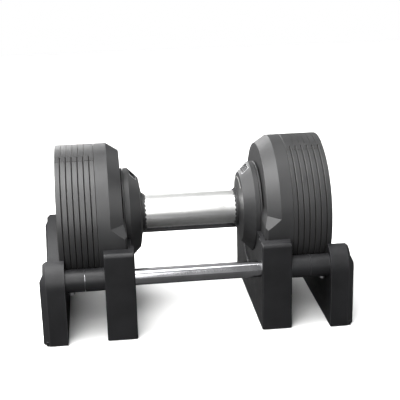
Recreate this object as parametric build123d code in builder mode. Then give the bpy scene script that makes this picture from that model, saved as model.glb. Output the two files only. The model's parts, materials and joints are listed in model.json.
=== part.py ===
from build123d import *
from math import cos, pi, radians, sin, sqrt, tan
import os

os.makedirs("parts", exist_ok=True)

# An adjustable dumbbell that rests in its cradle. Millimetres, +Z up, +X along the handle.
# The origin is the middle of the cradle's footprint, on the surface that it stands on.
# Most pieces are drawn for the right-hand end (+X), and the left-hand ones are mirrored.

# --- plates ---------------------------------------------------------------------------
plate_radius = 90.0
thin_plate = 6.4             # thickness of a thin plate
thick_plate = 36.1           # thickness of the inner plate, with its cover
plate_gap = 0.6              # space between neighbouring plates
thin_count = 6               # thin plates at each end
plate_start = 87.0           # inner face of the thick plate
rim_chamfer = 0.7            # broken edge of every plate
bevel_length = 15.3          # conical bevel of the thick plate, along the handle
bevel_depth = 9.8            # and across it
lip_length = 3.8             # lip of the lower half, which stands out towards the handle
lip_chamfer = 2.8            # its outer edge, along the handle
lip_chamfer_depth = 4.0      # and across it
lip_clearance = 0.6          # between the lip and the hub's flange
facet_rim = 6.3              # where the facet over the lip meets the rim, degrees over the horizontal
facet_edge = -2.0            # the same, at the lip's chamfer
facet_cone = 8.5             # and at the inner end of the cone
cover_wall = 3.4             # wall of the thick plate's cover
cover_bore_gap = 1.5         # how much wider the cover's bore is than the core's
cover_seam = 0.3             # between the cover and the core's rim
core_flange = 5.3            # part of the steel core that shows at the rim
core_radius = 60.0           # part of the steel core inside the cover
tongue_radius = 31.0         # half-round tongue at the top of each plate
tongue_reach = 6.2           # how far it stands out of its plate
tongue_taper = 36.0          # slope of its flank, degrees
tongue_clearance = 0.4
mark_angle = 25.0            # two index dots in the rim, degrees from the top
mark_radius = 0.8
mark_spread = 2.8
disc_radius = 15.5           # flush disc in the outer face of the last plate
disc_drop = 19.0             # how far it lies under the centre
disc_depth = 0.8
disc_gap = 0.15
skin = 1.8                   # what the rod's blind hole leaves of the last plate

# --- handle ---------------------------------------------------------------------------
axis_height = 127.0          # handle's axis above the surface
grip_radius = 21.0
grip_half = 58.0
grip_wall = 2.0
ring_length = 1.8            # toothed ring at each end of the grip
ring_radius = 22.6
ring_teeth = 24
hub_radius = 57.0
hub_nose_radius = 44.0
hub_collar_radius = 24.5
hub_front = 58.6
hub_nose = 64.0
hub_shoulder = 77.0
hub_back = 82.4
hub_wall = 3.0
rim_wall = 3.4               # wall of the hub's straight rim
collar_length = 2.4          # collar around the grip's toothed ring
collar_step = 2.5            # step from the collar to the shallow cone
nose_wall = 5.0              # wall behind the collar, along the handle
ring_gap = 0.4               # between the toothed ring and the hub's opening
boss_inset = 6.5             # from the hub's rim to a screw's middle
boss_radius = 3.6
hub_screw_radius = 1.5
hub_screw_head = 2.9
hub_screw_sink = 1.4         # depth of the counterbore in the flange
head_gap = 0.2               # around a screw's head
neck_inset = 2.5             # how far the neck lies under the flange's rim
flange_edge = 0.5            # broken edge of the flange
flange_neck = 1.0            # groove between hub cover and flange
flange_plate = 2.3
window_width = 22.0
window_height = 11.4
window_sill = 2.0            # seat around the window's opening
window_depth = 2.2
window_corner = 1.5
window_cut = 8.0             # reaches through the hub's wall
lens_gap = 0.15
lens_thickness = 1.2
turn_range = 315.0           # degrees that the grip turns

# --- rods and cam ---------------------------------------------------------------------
rod_radius = 12.0
rod_fit = 0.05               # running fit, radial
rod_tail = 22.0              # how far a drawn-in rod passes the middle
rod_inset = 0.5              # from a drawn-in rod's tip to the flange's face
rod_point = 2.0              # chamfer at the tip
rod_end_gap = 0.4            # what is left behind a driven-out rod's tip
flat_half_gap = 0.3          # from a rod's flat to the middle plane
bore_clearance = 0.5         # around the rod in a plate
guide_inner = 13.5
guide_outer = 15.5
sleeve_inner = 16.0
sleeve_half = 75.0
bearing_outer = 17.55
bearing_gap = 0.6            # between the cam slot's end and the bearing
bearing_end = 74.0
pin_radius = 2.8
pin_from_tail = 6.0
slot_clearance = 0.5
bush_length = 19.0
index_ring_radius = 30.0
index_ring_length = 2.4
index_ring_middle = 73.0
notch_depth = 1.2
ball_radius = 2.5
number_ring_wall = 1.6
number_ring_start = 67.0
number_ring_end = 75.0

# --- lock -----------------------------------------------------------------------------
lock_x = 80.2
lock_radius = 1.5
lock_nose = 3.3              # how far the pin stands out of the hub
lock_collar = 2.1
lock_collar_height = 1.5
lock_stub = 2.5              # stub that centres the spring
lock_stub_radius = 0.9
lock_point = 0.7             # chamfer at the nose
lock_spring_length = 7.8
lock_room = 1.4              # around the pin, in the stand's saddle
lock_room_depth = 1.2
index_spring_room = 5.4      # from the ball to the spring's seat
index_gap = 0.3              # between the index ring and the ball
index_preload = 0.35
bracket_half = 3.2           # brackets under the springs
bracket_height = 1.8
spring_wire = 0.4
seat_clearance = 0.3

# --- cradle ---------------------------------------------------------------------------
seat_clearance_plate = 0.6   # around the plates
saddle_clearance = 0.5       # around the hub
post_start = 76.2
post_end = 112.7
post_half_depth = 105.0
post_height = 111.5
post_round = 5.0
recess_radius = 80.0
recess_depth = 2.3
recess_edge = 1.5            # bevel around the recess
web_end = 82.6
wall_start = 159.8
wall_end = 189.5
wall_half_depth = 109.5
wall_height = 102.0
wall_corner = 30.0
wall_bevel = 8.0
face_step_radius = 109.0
face_step = 4.0
shell = 3.2
tube_radius = 10.0
tube_wall = 1.8
tube_y = 91.0
tube_drop = 51.0             # tube's axis under the handle's axis
tube_half = 172.0
sleeve_radius = 13.7
seam_x = 136.0
seam_gap = 0.5
bed_top_drop = 61.0          # where the bed's edge ends, under the handle's axis
pad_height = 1.0             # how far the foot pads stand out
pad_radius = 8.0
pad_thickness = 2.6
screw_radius = 2.4
screw_head = 4.2
screw_head_height = 3.0
screw_inset = 3.0            # from a tube screw's head to the outer wall
pad_inset = 14.0             # from a foot pad's middle to the stand's end
sole_thickness = 5.0         # solid sole around a foot pad
sole_depth = 26.0
stand_edge = 2.0             # rounded upright edges of the inner stand
cap_length = 4.0             # the outer stand past the tube's end
tube_end_gap = 0.3
fit = 0.05

# --- worked out -----------------------------------------------------------------------
pitch = thin_plate + plate_gap
thick_end = plate_start + thick_plate
outer_face = thick_end + thin_count * pitch
flange_start = hub_back + flange_neck
flange_end = flange_start + flange_plate
rod_tip = flange_end - rod_inset
bore_radius = rod_radius + bore_clearance
bore_bottom = outer_face - skin
rod_travel = bore_bottom - rod_end_gap - rod_tip
lead = rod_travel * 360 / turn_range
pin_x = -rod_tail + pin_from_tail
cone_offset = hub_wall * sqrt(2)
tube_z = axis_height - tube_drop
bar_axis = Axis((0, 0, axis_height), (1, 0, 0))
rim_axis = Axis((0, 0, axis_height + plate_radius), (1, 0, 0))


def turn(points, mode=Mode.ADD, axis=bar_axis):
    """Turn an outline of (x, radius) points about an axis along X."""
    with BuildSketch(Plane.XZ) as outline:
        with BuildLine():
            Polyline(*[(x, axis.position.Z + r) for x, r in points], close=True)
        make_face()
    revolve(outline.sketch, axis=axis, mode=mode)


def bar(x0, x1, radius, y=0.0, z=axis_height, mode=Mode.ADD):
    """A round bar along X."""
    with BuildSketch(Plane.YZ.offset(x0)) as end:
        with Locations((y, z)):
            Circle(radius)
    extrude(end.sketch, amount=x1 - x0, mode=mode)


def block(x0, x1, y0, y1, z0, z1, mode=Mode.ADD):
    """A box between two corners."""
    with Locations(((x0 + x1) / 2, (y0 + y1) / 2, (z0 + z1) / 2)):
        Box(x1 - x0, y1 - y0, z1 - z0, mode=mode)


def upright(x, y, z0, z1, radius, mode=Mode.ADD):
    """A round bar along Z."""
    with BuildSketch(Plane.XY.offset(z0)) as end:
        with Locations((x, y)):
            Circle(radius)
    extrude(end.sketch, amount=z1 - z0, mode=mode)


def write(part, name):
    part.label = name
    export_step(part, f"parts/{name}.step")


def write_pair(part, name):
    """Write a right-hand piece and its mirror image."""
    write(mirror(part, about=Plane.YZ), f"{name}_left")
    write(part, f"{name}_right")


def write_turned_pair(part, name):
    """Write a right-hand piece and the same piece turned half round for the left."""
    write(part.rotate(Axis.Z, 180), f"{name}_left")
    write(part, f"{name}_right")


# --- tongues and their recesses -------------------------------------------------------
def flank_radius(base, reach):
    return base - reach * tan(radians(tongue_taper))


def tongue(start, reach):
    """Half-round tongue that tapers outwards, cut off at the rim."""
    root = start - 1.0
    with BuildPart() as lobe:
        base = tongue_radius
        tip = flank_radius(tongue_radius, reach)
        turn([(root, 0), (root, -base), (start, -base), (start + reach, -tip), (start + reach, 0)],
             axis=rim_axis)
        bar(root, start + reach, plate_radius, mode=Mode.INTERSECT)
    return lobe.part


def recess(start, depth):
    """Room for a neighbour's tongue, open at the rim."""
    with BuildPart() as lobe:
        base = tongue_radius + tongue_clearance + (plate_gap - 1.0) * -tan(radians(tongue_taper))
        mouth = start - 1.0
        tip = flank_radius(base, depth + 1.0)
        turn([(mouth, 0), (mouth, -base), (start + depth, -tip), (start + depth, 0)], axis=rim_axis)
    return lobe.part


def index_dots(x0, x1):
    """Two dots side by side in the rim, near the tongue, on both sides."""
    middle = (x0 + x1) / 2
    for side in (-1, 1):
        turned = radians(mark_angle) * side
        across = (0, sin(turned), cos(turned))
        for dx in (-mark_spread / 2, mark_spread / 2):
            start = (middle + dx, across[1] * (plate_radius - mark_radius),
                     axis_height + across[2] * (plate_radius - mark_radius))
            with BuildSketch(Plane(start, z_dir=across)) as dot:
                Circle(mark_radius)
            extrude(dot.sketch, amount=2.0, mode=Mode.SUBTRACT)


# --- thin plates ----------------------------------------------------------------------
for number in range(1, thin_count + 1):
    x0 = thick_end + plate_gap + (number - 1) * pitch
    x1 = x0 + thin_plate
    last = number == thin_count
    before_last = number == thin_count - 1
    with BuildPart() as thin:
        c = rim_chamfer
        turn([(x0, 0), (x0, plate_radius - c), (x0 + c, plate_radius), (x1 - c, plate_radius),
              (x1, plate_radius - c), (x1, 0)])
        if last:
            add(recess(x0, thin_plate + 1.0), mode=Mode.SUBTRACT)
            bar(x0 - 1, bore_bottom, bore_radius, mode=Mode.SUBTRACT)
            bar(x1 - disc_depth, x1 + 1, disc_radius + disc_gap, z=axis_height - disc_drop,
                mode=Mode.SUBTRACT)
        else:
            reach = pitch if before_last else tongue_reach
            add(tongue(x1, reach))
            add(recess(x0, tongue_reach - plate_gap + tongue_clearance), mode=Mode.SUBTRACT)
            bar(x0 - 1, x1 + 1, bore_radius, mode=Mode.SUBTRACT)
        index_dots(x0, x1)
    write_pair(thin.part, f"thin_plate_{number}")

with BuildPart() as face_disc:
    bar(outer_face - disc_depth, outer_face, disc_radius, z=axis_height - disc_drop)
write_pair(face_disc.part, "face_disc")

# --- thick plate: cover and steel core ------------------------------------------------
core_start = thick_end - core_flange
cover_end = core_start - cover_seam
wall_radius = plate_radius - cover_wall


def rim_point(x, radius, over):
    """A point in the front half, some degrees over the horizontal."""
    return Vector(x, -radius * cos(radians(over)), axis_height + radius * sin(radians(over)))


def above(solid, first, second, third):
    """What lies above the plane through three points."""
    facing = (second - first).cross(third - first).normalized()
    facing = facing if facing.Z > 0 else facing * -1
    with BuildPart() as kept:
        add(solid)
        split(bisect_by=Plane(first, z_dir=facing), keep=Keep.TOP)
    return kept.part


# The cone that the upper half loses. Two facets end it over the lip, on each side.
lip_start = plate_start - lip_length
with BuildPart() as bevel:
    slope = bevel_depth / bevel_length
    outside = plate_radius + 1.0
    turn([(lip_start - 1, 0), (plate_start, 0), (plate_start, plate_radius - bevel_depth),
          (plate_start + bevel_length + 1 / slope, outside), (lip_start - 1, outside)])
    split(bisect_by=Plane.XZ, keep=Keep.TOP)

rim_corner = rim_point(plate_start + bevel_length, plate_radius, facet_rim)
edge_corner = rim_point(lip_start + lip_chamfer, plate_radius, facet_edge)
lip_corner = rim_point(lip_start, plate_radius - lip_chamfer_depth, facet_edge / 2)
cone_corner = rim_point(plate_start, plate_radius - bevel_depth, facet_cone)
flange_corner = rim_point(lip_start, hub_radius + lip_clearance, facet_cone / 2)
outer_cut = above(bevel.part, edge_corner, rim_corner, cone_corner)
inner_cut = above(bevel.part, lip_corner, flange_corner, cone_corner)

with BuildPart() as thick_cover:
    c = rim_chamfer
    turn([(lip_start, bore_radius + cover_bore_gap), (lip_start, plate_radius - lip_chamfer_depth),
          (lip_start + lip_chamfer, plate_radius), (cover_end - c / 2, plate_radius),
          (cover_end, plate_radius - c / 2), (cover_end, wall_radius),
          (plate_start + bevel_length + cover_wall, wall_radius),
          (plate_start + cover_wall, wall_radius - bevel_depth),
          (plate_start + cover_wall, bore_radius + cover_bore_gap)])
    bar(lip_start - 1, plate_start, hub_radius + lip_clearance, mode=Mode.SUBTRACT)
    for cut in (outer_cut, inner_cut):
        add(cut, mode=Mode.SUBTRACT)
        add(mirror(cut, about=Plane.XZ), mode=Mode.SUBTRACT)
write_pair(thick_cover.part, "thick_plate_cover")

with BuildPart() as thick_core:
    c = rim_chamfer
    face = plate_start + cover_wall
    turn([(face, bore_radius), (face, core_radius), (core_start, core_radius),
          (core_start, plate_radius - c / 2), (core_start + c / 2, plate_radius),
          (thick_end - c, plate_radius), (thick_end, plate_radius - c), (thick_end, bore_radius)])
    add(tongue(thick_end, tongue_reach))
    index_dots(core_start, thick_end)
write_pair(thick_core.part, "thick_plate_core")

# --- hub: cover, flange, window -------------------------------------------------------
window_x = (hub_nose + hub_shoulder) / 2
window_r = (hub_nose_radius + hub_radius) / 2
window_plane = Plane((window_x, 0, axis_height + window_r), x_dir=(0, 1, 0), z_dir=(-1, 0, 1))
screw_circle = hub_radius - boss_inset
screw_angles = [30, 150, 300]


def around(radius, degrees):
    """A point on a circle about the handle's axis, as (y, z)."""
    return radius * cos(radians(degrees)), axis_height + radius * sin(radians(degrees))


with BuildPart() as hub_cover:
    inner = hub_radius - rim_wall
    opening = ring_radius + ring_gap
    collar_end = hub_front + collar_length
    cone_start = hub_nose + 2.2
    turn([(hub_front, opening), (hub_front, hub_collar_radius), (collar_end, hub_collar_radius),
          (collar_end, hub_collar_radius + collar_step), (hub_nose, hub_nose_radius),
          (hub_shoulder, hub_radius), (hub_back, hub_radius), (hub_back, inner),
          (inner + cone_offset + hub_shoulder - hub_radius, inner),
          (cone_start, cone_start - hub_shoulder + hub_radius - cone_offset),
          (hub_front + nose_wall, hub_collar_radius + nose_wall), (hub_front + nose_wall, opening)])
    for degrees in screw_angles:
        y, z = around(screw_circle, degrees)
        bar(hub_shoulder, hub_back, boss_radius, y, z)
    for degrees in screw_angles:
        y, z = around(screw_circle, degrees)
        bar(hub_shoulder + 1.0, hub_back + 1, hub_screw_radius, y, z, mode=Mode.SUBTRACT)
    bar(hub_front - 1, hub_back + 1, opening, mode=Mode.SUBTRACT)
    upright(lock_x, 0, axis_height - hub_radius - 1, axis_height - inner + 2, lock_radius + fit,
            mode=Mode.SUBTRACT)
    with BuildSketch(window_plane.offset(-window_depth)) as recess_outline:
        RectangleRounded(window_width, window_height, window_corner)
    extrude(recess_outline.sketch, amount=window_depth + 2, mode=Mode.SUBTRACT)
    with BuildSketch(window_plane.offset(-window_cut)) as opening_outline:
        RectangleRounded(window_width - 2 * window_sill, window_height - 2 * window_sill, 1.0)
    extrude(opening_outline.sketch, amount=window_cut, mode=Mode.SUBTRACT)
write_pair(hub_cover.part, "hub_cover")

with BuildPart() as window_lens:
    with BuildSketch(window_plane.offset(-window_depth)):
        RectangleRounded(window_width - 2 * lens_gap, window_height - 2 * lens_gap,
                         window_corner - lens_gap)
    extrude(amount=lens_thickness)
write_pair(window_lens.part, "window_lens")

pin_seat = hub_radius - rim_wall - seat_clearance    # the lock pin's collar rests here
lock_seat = pin_seat - lock_collar_height - lock_spring_length
index_seat = index_ring_radius + index_gap + 2 * ball_radius + index_spring_room
sink_start = flange_end - hub_screw_sink
with BuildPart() as hub_flange:
    neck_radius = hub_radius - neck_inset
    e = flange_edge
    turn([(hub_back, guide_outer), (hub_back, neck_radius), (flange_start, neck_radius),
          (flange_start, hub_radius - e), (flange_start + e, hub_radius), (flange_end - e, hub_radius),
          (flange_end, hub_radius - e), (flange_end, guide_outer)])
    block(lock_x - 2.9, hub_back + 1, -bracket_half, bracket_half, axis_height - lock_seat,
          axis_height - lock_seat + 2.2)
    for degrees in screw_angles:
        y, z = around(screw_circle, degrees)
        bar(hub_back - 1, flange_end + 1, hub_screw_radius, y, z, mode=Mode.SUBTRACT)
        bar(sink_start, flange_end + 1, hub_screw_head + head_gap, y, z, mode=Mode.SUBTRACT)
write(mirror(hub_flange.part, about=Plane.YZ), "hub_flange_left")

# The right-hand flange also carries the seat of the index spring.
with BuildPart() as index_flange:
    add(hub_flange.part)
    block(index_ring_middle - 2.0, hub_back + 1, -bracket_half, bracket_half,
          axis_height - index_seat - bracket_height, axis_height - index_seat)
write(index_flange.part, "hub_flange_right")

with BuildPart() as flange_screws:
    for side in (-1, 1):
        for degrees in screw_angles:
            y, z = around(screw_circle, degrees)
            x0, x1 = sorted((side * (hub_shoulder + 1.5), side * sink_start))
            bar(x0, x1, hub_screw_radius - fit, y, z)
            x0, x1 = sorted((side * sink_start, side * (flange_end - 0.1)))
            bar(x0, x1, hub_screw_head, y, z)
write(flange_screws.part, "flange_screws")

# --- guide tube, bushes and bearings --------------------------------------------------
sleeve_outer = grip_radius - grip_wall
slot_start = pin_x - pin_radius - slot_clearance
slot_end = pin_x + rod_travel + pin_radius + slot_clearance
bearing_start = slot_end + bearing_gap
with BuildPart() as guide_tube:
    bar(-flange_end + 0.5, flange_end - 0.5, guide_outer)
    bar(-flange_end, flange_end, guide_inner, mode=Mode.SUBTRACT)
    for side in (-1, 1):
        x0, x1 = sorted((side * slot_start, side * slot_end))
        y0, y1 = sorted((0.0, -side * (guide_outer + 1)))
        half = pin_radius + slot_clearance
        block(x0, x1, y0, y1, axis_height - half, axis_height + half, mode=Mode.SUBTRACT)
write(guide_tube.part, "guide_tube")

with BuildPart() as end_bush:
    bar(flange_end - 0.5 - bush_length, flange_end - 0.5, guide_inner)
    bar(0, flange_end, rod_radius + rod_fit, mode=Mode.SUBTRACT)
write_pair(end_bush.part, "end_bush")

with BuildPart() as grip_bearing:
    bar(bearing_start, bearing_end, bearing_outer)
    bar(bearing_start - 1, bearing_end + 1, guide_outer, mode=Mode.SUBTRACT)
write_pair(grip_bearing.part, "grip_bearing")

# --- grip, cam sleeve and the rings that turn with them -------------------------------
with BuildPart() as grip_tube:
    turn([(-grip_half, sleeve_outer), (-grip_half, grip_radius - 0.6), (-grip_half + 0.6, grip_radius),
          (grip_half - 0.6, grip_radius), (grip_half, grip_radius - 0.6), (grip_half, sleeve_outer)])
write(grip_tube.part, "grip_tube")

slot_middle = (sleeve_inner + sleeve_outer) / 2
slot_radius = sqrt((pin_radius + slot_clearance) ** 2 + (sleeve_outer - slot_middle) ** 2)
slot_plane = Plane((pin_x, 0, axis_height), x_dir=(0, -1, 0), z_dir=(1, 0, 0))
slot_path = slot_plane.location * Helix(lead, rod_travel, slot_middle, lefthand=True)
with BuildPart() as cam_slot:
    with BuildSketch(Plane(slot_path @ 0, z_dir=slot_path % 0)):
        Circle(slot_radius)
    sweep(path=slot_path)
    with Locations(slot_path @ 0, slot_path @ 1):
        Sphere(slot_radius)
opposite_slot = mirror(cam_slot.part, about=Plane.YZ).rotate(bar_axis, 180)

with BuildPart() as cam_sleeve:
    bar(-sleeve_half, sleeve_half, sleeve_outer)
    bar(-sleeve_half - 1, sleeve_half + 1, sleeve_inner, mode=Mode.SUBTRACT)
    for side in (-1, 1):
        x0, x1 = sorted((side * (bearing_start - 0.5), side * (sleeve_half + 1)))
        bar(x0, x1, bearing_outer + fit, mode=Mode.SUBTRACT)
    add(cam_slot.part, mode=Mode.SUBTRACT)
    add(opposite_slot, mode=Mode.SUBTRACT)
write(cam_sleeve.part, "cam_sleeve")

with BuildPart() as grip_ring:
    bar(grip_half, grip_half + 0.4, ring_radius)
    bar(grip_half - ring_length, grip_half, ring_radius)
    bar(grip_half - ring_length - 1, grip_half, grip_radius, mode=Mode.SUBTRACT)
    bar(grip_half - 1, grip_half + 1, sleeve_outer, mode=Mode.SUBTRACT)
    tooth = 2 * pi * ring_radius / ring_teeth / 2
    for number in range(ring_teeth):
        with BuildSketch(Plane.YZ.offset(grip_half - ring_length - 1)) as gap_outline:
            with Locations((0, axis_height)):
                with PolarLocations(ring_radius, 1, start_angle=number * 360 / ring_teeth):
                    Rectangle(2 * (ring_radius - grip_radius) + 1.0, tooth)
        extrude(gap_outline.sketch, amount=ring_length * 0.6 + 1, mode=Mode.SUBTRACT)
write_pair(grip_ring.part, "grip_ring")

rim_offset = hub_radius - hub_shoulder - (hub_wall + 0.8) * sqrt(2)
rim_inner = rim_offset - number_ring_wall * sqrt(2)
with BuildPart() as number_ring:
    turn([(number_ring_start, sleeve_outer), (number_ring_start, number_ring_start + rim_offset),
          (number_ring_end, number_ring_end + rim_offset), (number_ring_end, number_ring_end + rim_inner),
          (number_ring_start + 2, number_ring_start + 2 + rim_inner), (number_ring_start + 2, sleeve_outer)])
write_pair(number_ring.part, "number_ring")

with BuildPart() as index_ring:
    x0 = index_ring_middle - index_ring_length / 2
    bar(x0, x0 + index_ring_length, index_ring_radius)
    bar(x0 - 1, x0 + index_ring_length + 1, sleeve_outer, mode=Mode.SUBTRACT)
    steps = [0.0, thick_plate] + [thick_plate + k * pitch for k in range(1, thin_count)] + [rod_travel]
    for step in steps:
        y, z = around(index_ring_radius + ball_radius - notch_depth + index_gap, -90 - step / lead * 360)
        bar(x0 - 1, x0 + index_ring_length + 1, ball_radius + 0.35, y, z, mode=Mode.SUBTRACT)
write(index_ring.part, "index_ring")

# --- rods and follower pins -----------------------------------------------------------
with BuildPart() as rod:
    flat_end = rod_tail + 2.5
    turn([(-rod_tail, 0), (-rod_tail, rod_radius), (rod_tip - rod_point, rod_radius),
          (rod_tip, rod_radius - rod_point), (rod_tip, 0)])
    block(-rod_tail - 1, flat_end, -flat_half_gap, rod_radius + 1, axis_height - rod_radius - 1,
          axis_height + rod_radius + 1, mode=Mode.SUBTRACT)
    with BuildSketch(Plane.XZ.offset(rod_radius / 2)) as pin_outline:
        with Locations((pin_x, axis_height)):
            Circle(pin_radius)
    extrude(pin_outline.sketch, amount=rod_radius, mode=Mode.SUBTRACT)
write_turned_pair(rod.part, "rod")

with BuildPart() as follower_pin:
    with BuildSketch(Plane.XZ.offset(rod_radius / 2)):
        with Locations((pin_x, axis_height)):
            Circle(pin_radius)
    extrude(amount=sleeve_outer - seat_clearance - rod_radius / 2)
write_turned_pair(follower_pin.part, "follower_pin")


# --- lock pins, index ball and their springs ------------------------------------------
def coil(x, z0, z1, radius, turns):
    """An open coil spring that stands upright."""
    height = z1 - z0 - 2 * spring_wire
    with BuildPart() as spring:
        with BuildLine(Plane((x, 0, z0 + spring_wire))) as path:
            Helix(pitch=height / turns, height=height, radius=radius)
        with BuildSketch(Plane(path.wire() @ 0, z_dir=path.wire() % 0)):
            Circle(spring_wire)
        sweep(path=path.wire())
    return spring.part


with BuildPart() as lock_pin:
    collar_z = axis_height - pin_seat
    nose_z = axis_height - hub_radius - lock_nose
    upright(lock_x, 0, nose_z, collar_z, lock_radius)
    stub_z = collar_z + lock_collar_height
    upright(lock_x, 0, collar_z, stub_z, lock_collar)
    upright(lock_x, 0, stub_z, stub_z + lock_stub, lock_stub_radius)
    chamfer(lock_pin.faces().sort_by(Axis.Z)[0].edges(), lock_point)
write_pair(lock_pin.part, "lock_pin")

lock_spring = coil(lock_x, stub_z, axis_height - lock_seat, 1.5, 5)
write_pair(lock_spring, "lock_spring")

ball_z = axis_height - index_ring_radius - index_gap - ball_radius
with BuildPart() as index_ball:
    with Locations((index_ring_middle, 0, ball_z)):
        Sphere(ball_radius)
write(index_ball.part, "index_ball")
ball_foot = ball_z - ball_radius + index_preload
index_spring = coil(index_ring_middle, axis_height - index_seat, ball_foot, 1.3, 4)
write(index_spring, "index_spring")

# --- cradle ---------------------------------------------------------------------------
seat_radius = plate_radius + seat_clearance_plate
bed_radius = seat_radius + shell


def sleeve_bars(x0, x1):
    """Round sleeves for the front and rear tube."""
    for y in (-tube_y, tube_y):
        bar(x0, x1, sleeve_radius, y, tube_z)


def tube_bores(x0, x1, screw_x):
    """Bores for the tubes, and the screw holes under them."""
    for y in (-tube_y, tube_y):
        bar(x0, x1, tube_radius + fit, y, tube_z, mode=Mode.SUBTRACT)
        upright(screw_x, y, tube_z - sleeve_radius - 1, tube_z, screw_radius + fit,
                mode=Mode.SUBTRACT)


def bed(x0, x1):
    """Curved shell under the thin plates."""
    with BuildPart() as trough:
        bar(x0, x1, bed_radius)
        bar(x0 - 1, x1 + 1, seat_radius, mode=Mode.SUBTRACT)
        block(x0 - 1, x1 + 1, -bed_radius - 1, bed_radius + 1, axis_height - bed_top_drop,
              axis_height + bed_radius + 1, mode=Mode.SUBTRACT)
    return trough.part


def pad_seats(x, y):
    """A foot's pocket in the underside, at the front and at the rear."""
    for side in (-1, 1):
        upright(x, side * y, 0, pad_thickness, pad_radius + 0.2, mode=Mode.SUBTRACT)


inner_screw_x = (post_start + post_end) / 2
outer_screw_x = wall_start - screw_head - screw_inset
inner_pad = (inner_screw_x, post_half_depth - pad_inset)
outer_pad = ((wall_start + wall_end) / 2, wall_half_depth - pad_inset)
sole = pad_height + sole_thickness

with BuildPart() as inner_fill:
    bar(post_start, post_end, bed_radius)
    block(post_start, post_end, -post_half_depth, post_half_depth, pad_height, post_height,
          mode=Mode.INTERSECT)

with BuildPart() as inner_stand:
    with BuildSketch(Plane.YZ.offset(post_start)):
        with Locations((0, (pad_height + post_height) / 2)):
            Rectangle(2 * post_half_depth, post_height - pad_height)
    extrude(amount=post_end - post_start)
    fillet(inner_stand.edges().filter_by(Axis.X).group_by(Axis.Z)[-1], post_round)
    fillet(inner_stand.edges().filter_by(Axis.Z), stand_edge)
    block(post_start + shell, post_end - shell, -post_half_depth + shell, post_half_depth - shell,
          0, post_height - shell, mode=Mode.SUBTRACT)
    for side in (-1, 1):
        y0, y1 = sorted((side * (post_half_depth - sole_depth), side * (post_half_depth - 1)))
        block(post_start + 1, post_end - 1, y0, y1, pad_height, sole)
    add(inner_fill.part)
    sleeve_bars(post_start + 1, seam_x - seam_gap / 2)
    add(bed(post_end - 1, seam_x - seam_gap / 2))
    bar(web_end, post_end, seat_radius, mode=Mode.SUBTRACT)
    bar(post_start - 1, web_end + 1, hub_radius + saddle_clearance, mode=Mode.SUBTRACT)
    turn([(post_start - 1, 0), (post_start - 1, recess_radius + recess_edge),
          (post_start, recess_radius + recess_edge), (post_start + recess_edge, recess_radius),
          (post_start + recess_depth, recess_radius), (post_start + recess_depth, 0)],
         mode=Mode.SUBTRACT)
    upright(lock_x, 0, axis_height - hub_radius - lock_nose - lock_room_depth, axis_height,
            lock_radius + lock_room, mode=Mode.SUBTRACT)
    tube_bores(post_start - 1, seam_x, inner_screw_x)
    pad_seats(*inner_pad)
write_pair(inner_stand.part, "inner_stand")

with BuildPart() as outer_fill:
    bar(wall_start, wall_end - face_step, bed_radius)
    bar(wall_end - face_step - shell, wall_end, face_step_radius + shell)
    block(wall_start, wall_end, -wall_half_depth + shell / 2, wall_half_depth - shell / 2,
          pad_height, tube_z + 1, mode=Mode.INTERSECT)

with BuildPart() as outer_stand:
    with BuildSketch(Plane.YZ.offset(wall_start)) as wall_outline:
        with Locations((0, (pad_height + wall_height) / 2)):
            Rectangle(2 * wall_half_depth, wall_height - pad_height)
        fillet(wall_outline.vertices().group_by(Axis.Y)[-1], wall_corner)
    extrude(amount=wall_end - wall_start)
    outer_rim = outer_stand.faces().sort_by(Axis.X)[-1].edges()
    chamfer(outer_rim.filter_by(lambda e: e.center().Z > pad_height + 1), wall_bevel)
    block(wall_start + shell, wall_end - face_step - shell, -wall_half_depth + shell,
          wall_half_depth - shell, 0, tube_z, mode=Mode.SUBTRACT)
    for side in (-1, 1):
        y0, y1 = sorted((side * (wall_half_depth - sole_depth), side * (wall_half_depth - 1)))
        block(wall_start + 1, wall_end - 4, y0, y1, pad_height, sole)
    add(outer_fill.part)
    sleeve_bars(seam_x + seam_gap / 2, tube_half + cap_length)
    add(bed(seam_x + seam_gap / 2, wall_start + 1))
    bar(wall_start - 1, wall_end + 1, seat_radius, mode=Mode.SUBTRACT)
    turn([(wall_end + 1, 0), (wall_end + 1, face_step_radius + 1), (wall_end, face_step_radius + 1),
          (wall_end - face_step, face_step_radius - 3), (wall_end - face_step, 0)], mode=Mode.SUBTRACT)
    tube_bores(seam_x, tube_half + tube_end_gap, outer_screw_x)
    pad_seats(*outer_pad)
write_pair(outer_stand.part, "outer_stand")

for name, y in (("front_tube", -tube_y), ("rear_tube", tube_y)):
    with BuildPart() as tube:
        bar(-tube_half, tube_half, tube_radius, y, tube_z)
        bar(-tube_half - 1, tube_half + 1, tube_radius - tube_wall, y, tube_z, mode=Mode.SUBTRACT)
        for x in (-outer_screw_x, -inner_screw_x, inner_screw_x, outer_screw_x):
            upright(x, y, tube_z - tube_radius - 1, tube_z, screw_radius + fit, mode=Mode.SUBTRACT)
    write(tube.part, name)

with BuildPart() as tube_screws:
    for x in (-outer_screw_x, -inner_screw_x, inner_screw_x, outer_screw_x):
        for y in (-tube_y, tube_y):
            seat = tube_z - sleeve_radius
            upright(x, y, seat - screw_head_height, seat, screw_head)
            upright(x, y, seat, tube_z - 3, screw_radius)
write(tube_screws.part, "tube_screws")

with BuildPart() as foot_pads:
    for x, y in (inner_pad, outer_pad):
        for x_side in (-1, 1):
            for y_side in (-1, 1):
                upright(x_side * x, y_side * y, 0, pad_thickness, pad_radius)
write(foot_pads.part, "foot_pads")

print("outer face", outer_face, "rod travel", rod_travel, "lead per turn", lead)
print("metres per radian", rod_travel / 1000 / radians(turn_range))
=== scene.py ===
import json
import math

import bmesh
import bpy
import numpy as np
from mathutils import Matrix, Vector


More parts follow.
